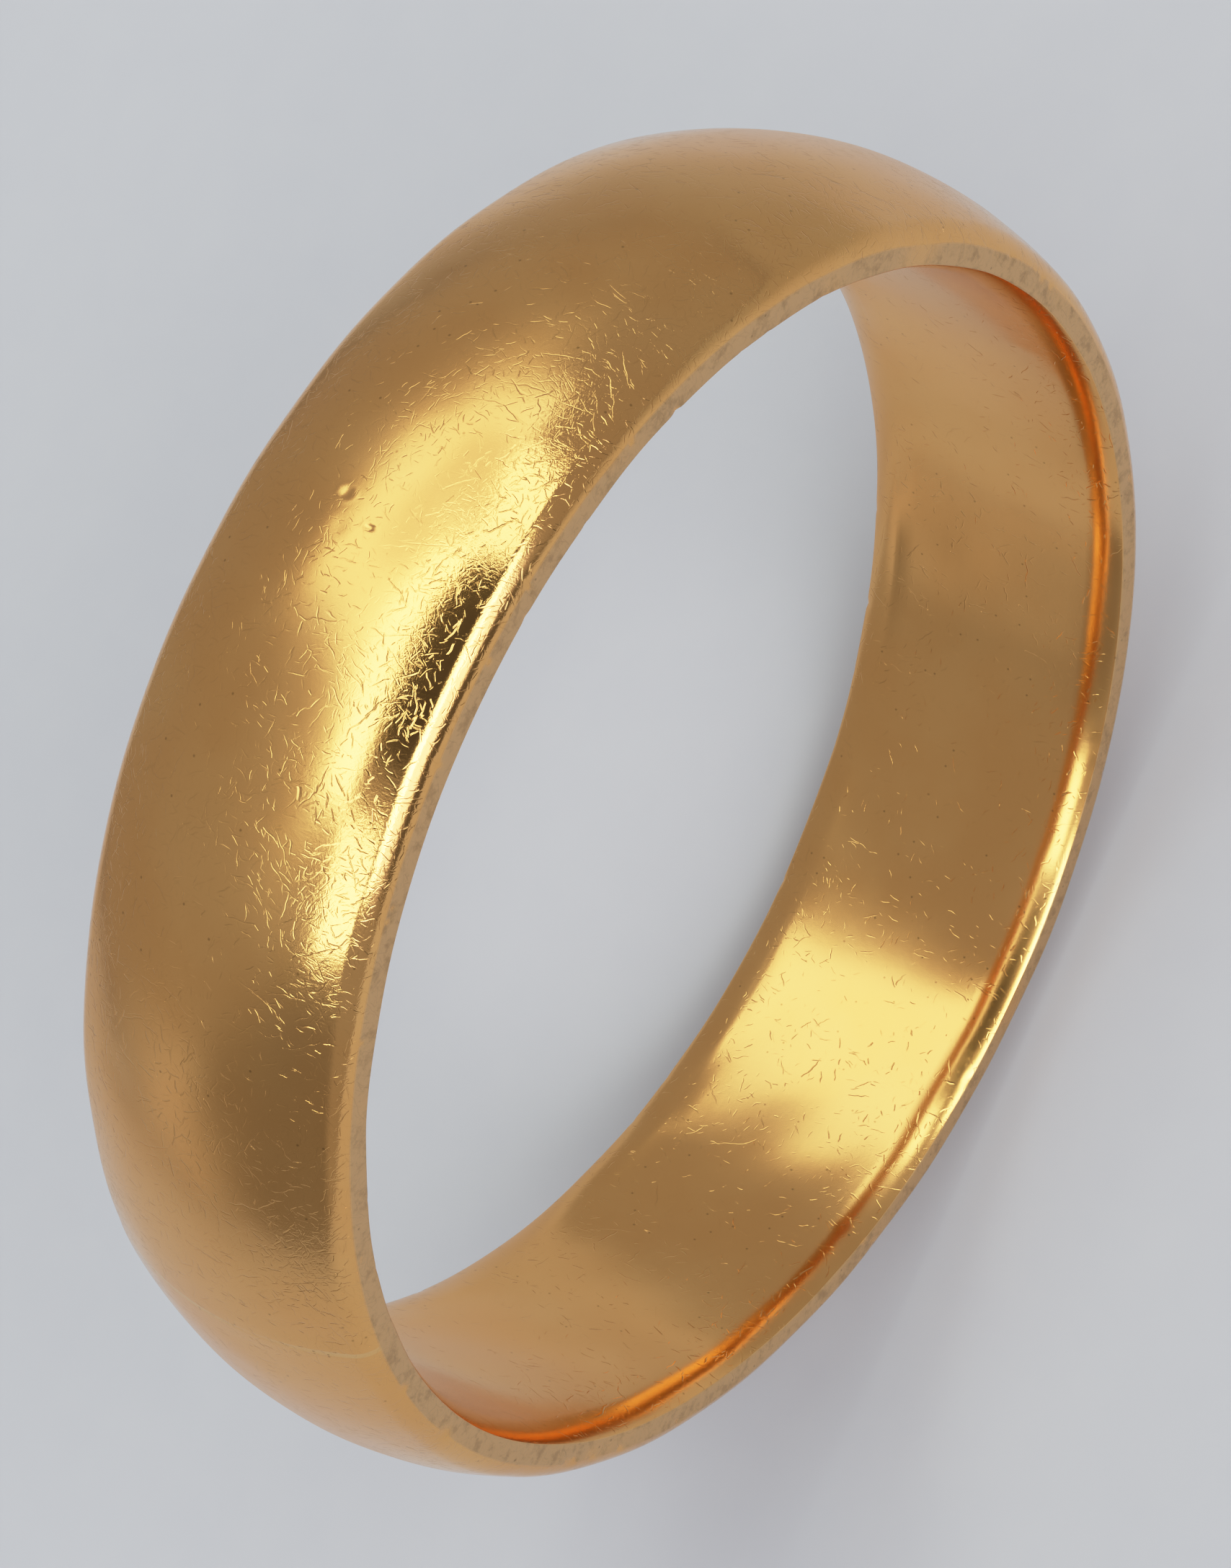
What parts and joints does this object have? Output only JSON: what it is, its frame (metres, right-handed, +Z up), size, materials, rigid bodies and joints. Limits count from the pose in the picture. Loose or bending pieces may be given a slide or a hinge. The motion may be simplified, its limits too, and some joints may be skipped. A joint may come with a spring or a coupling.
{
  "type": "wedding band",
  "caption": "Plain gold wedding band, domed outside, flat inside with rounded bore ends, flat side rims and a soldered joint across it.",
  "frame": {"origin": "centre of the finger bore, midway across the band's width", "axes": "+Y along the bore, +Z up with the ring standing on its edge like a wheel, +X to the right; the solder joint lies 150 degrees round from +X towards +Z"},
  "size_m": [0.0214, 0.005, 0.0214],
  "materials": {
    "gold": "yellow gold, worn satin with fine scratches",
    "solder": "hard gold solder, slightly paler than the band"
  },
  "bodies": {
    "root": {"band": "gold", "solder_seam": "solder"}
  },
  "joints": []
}
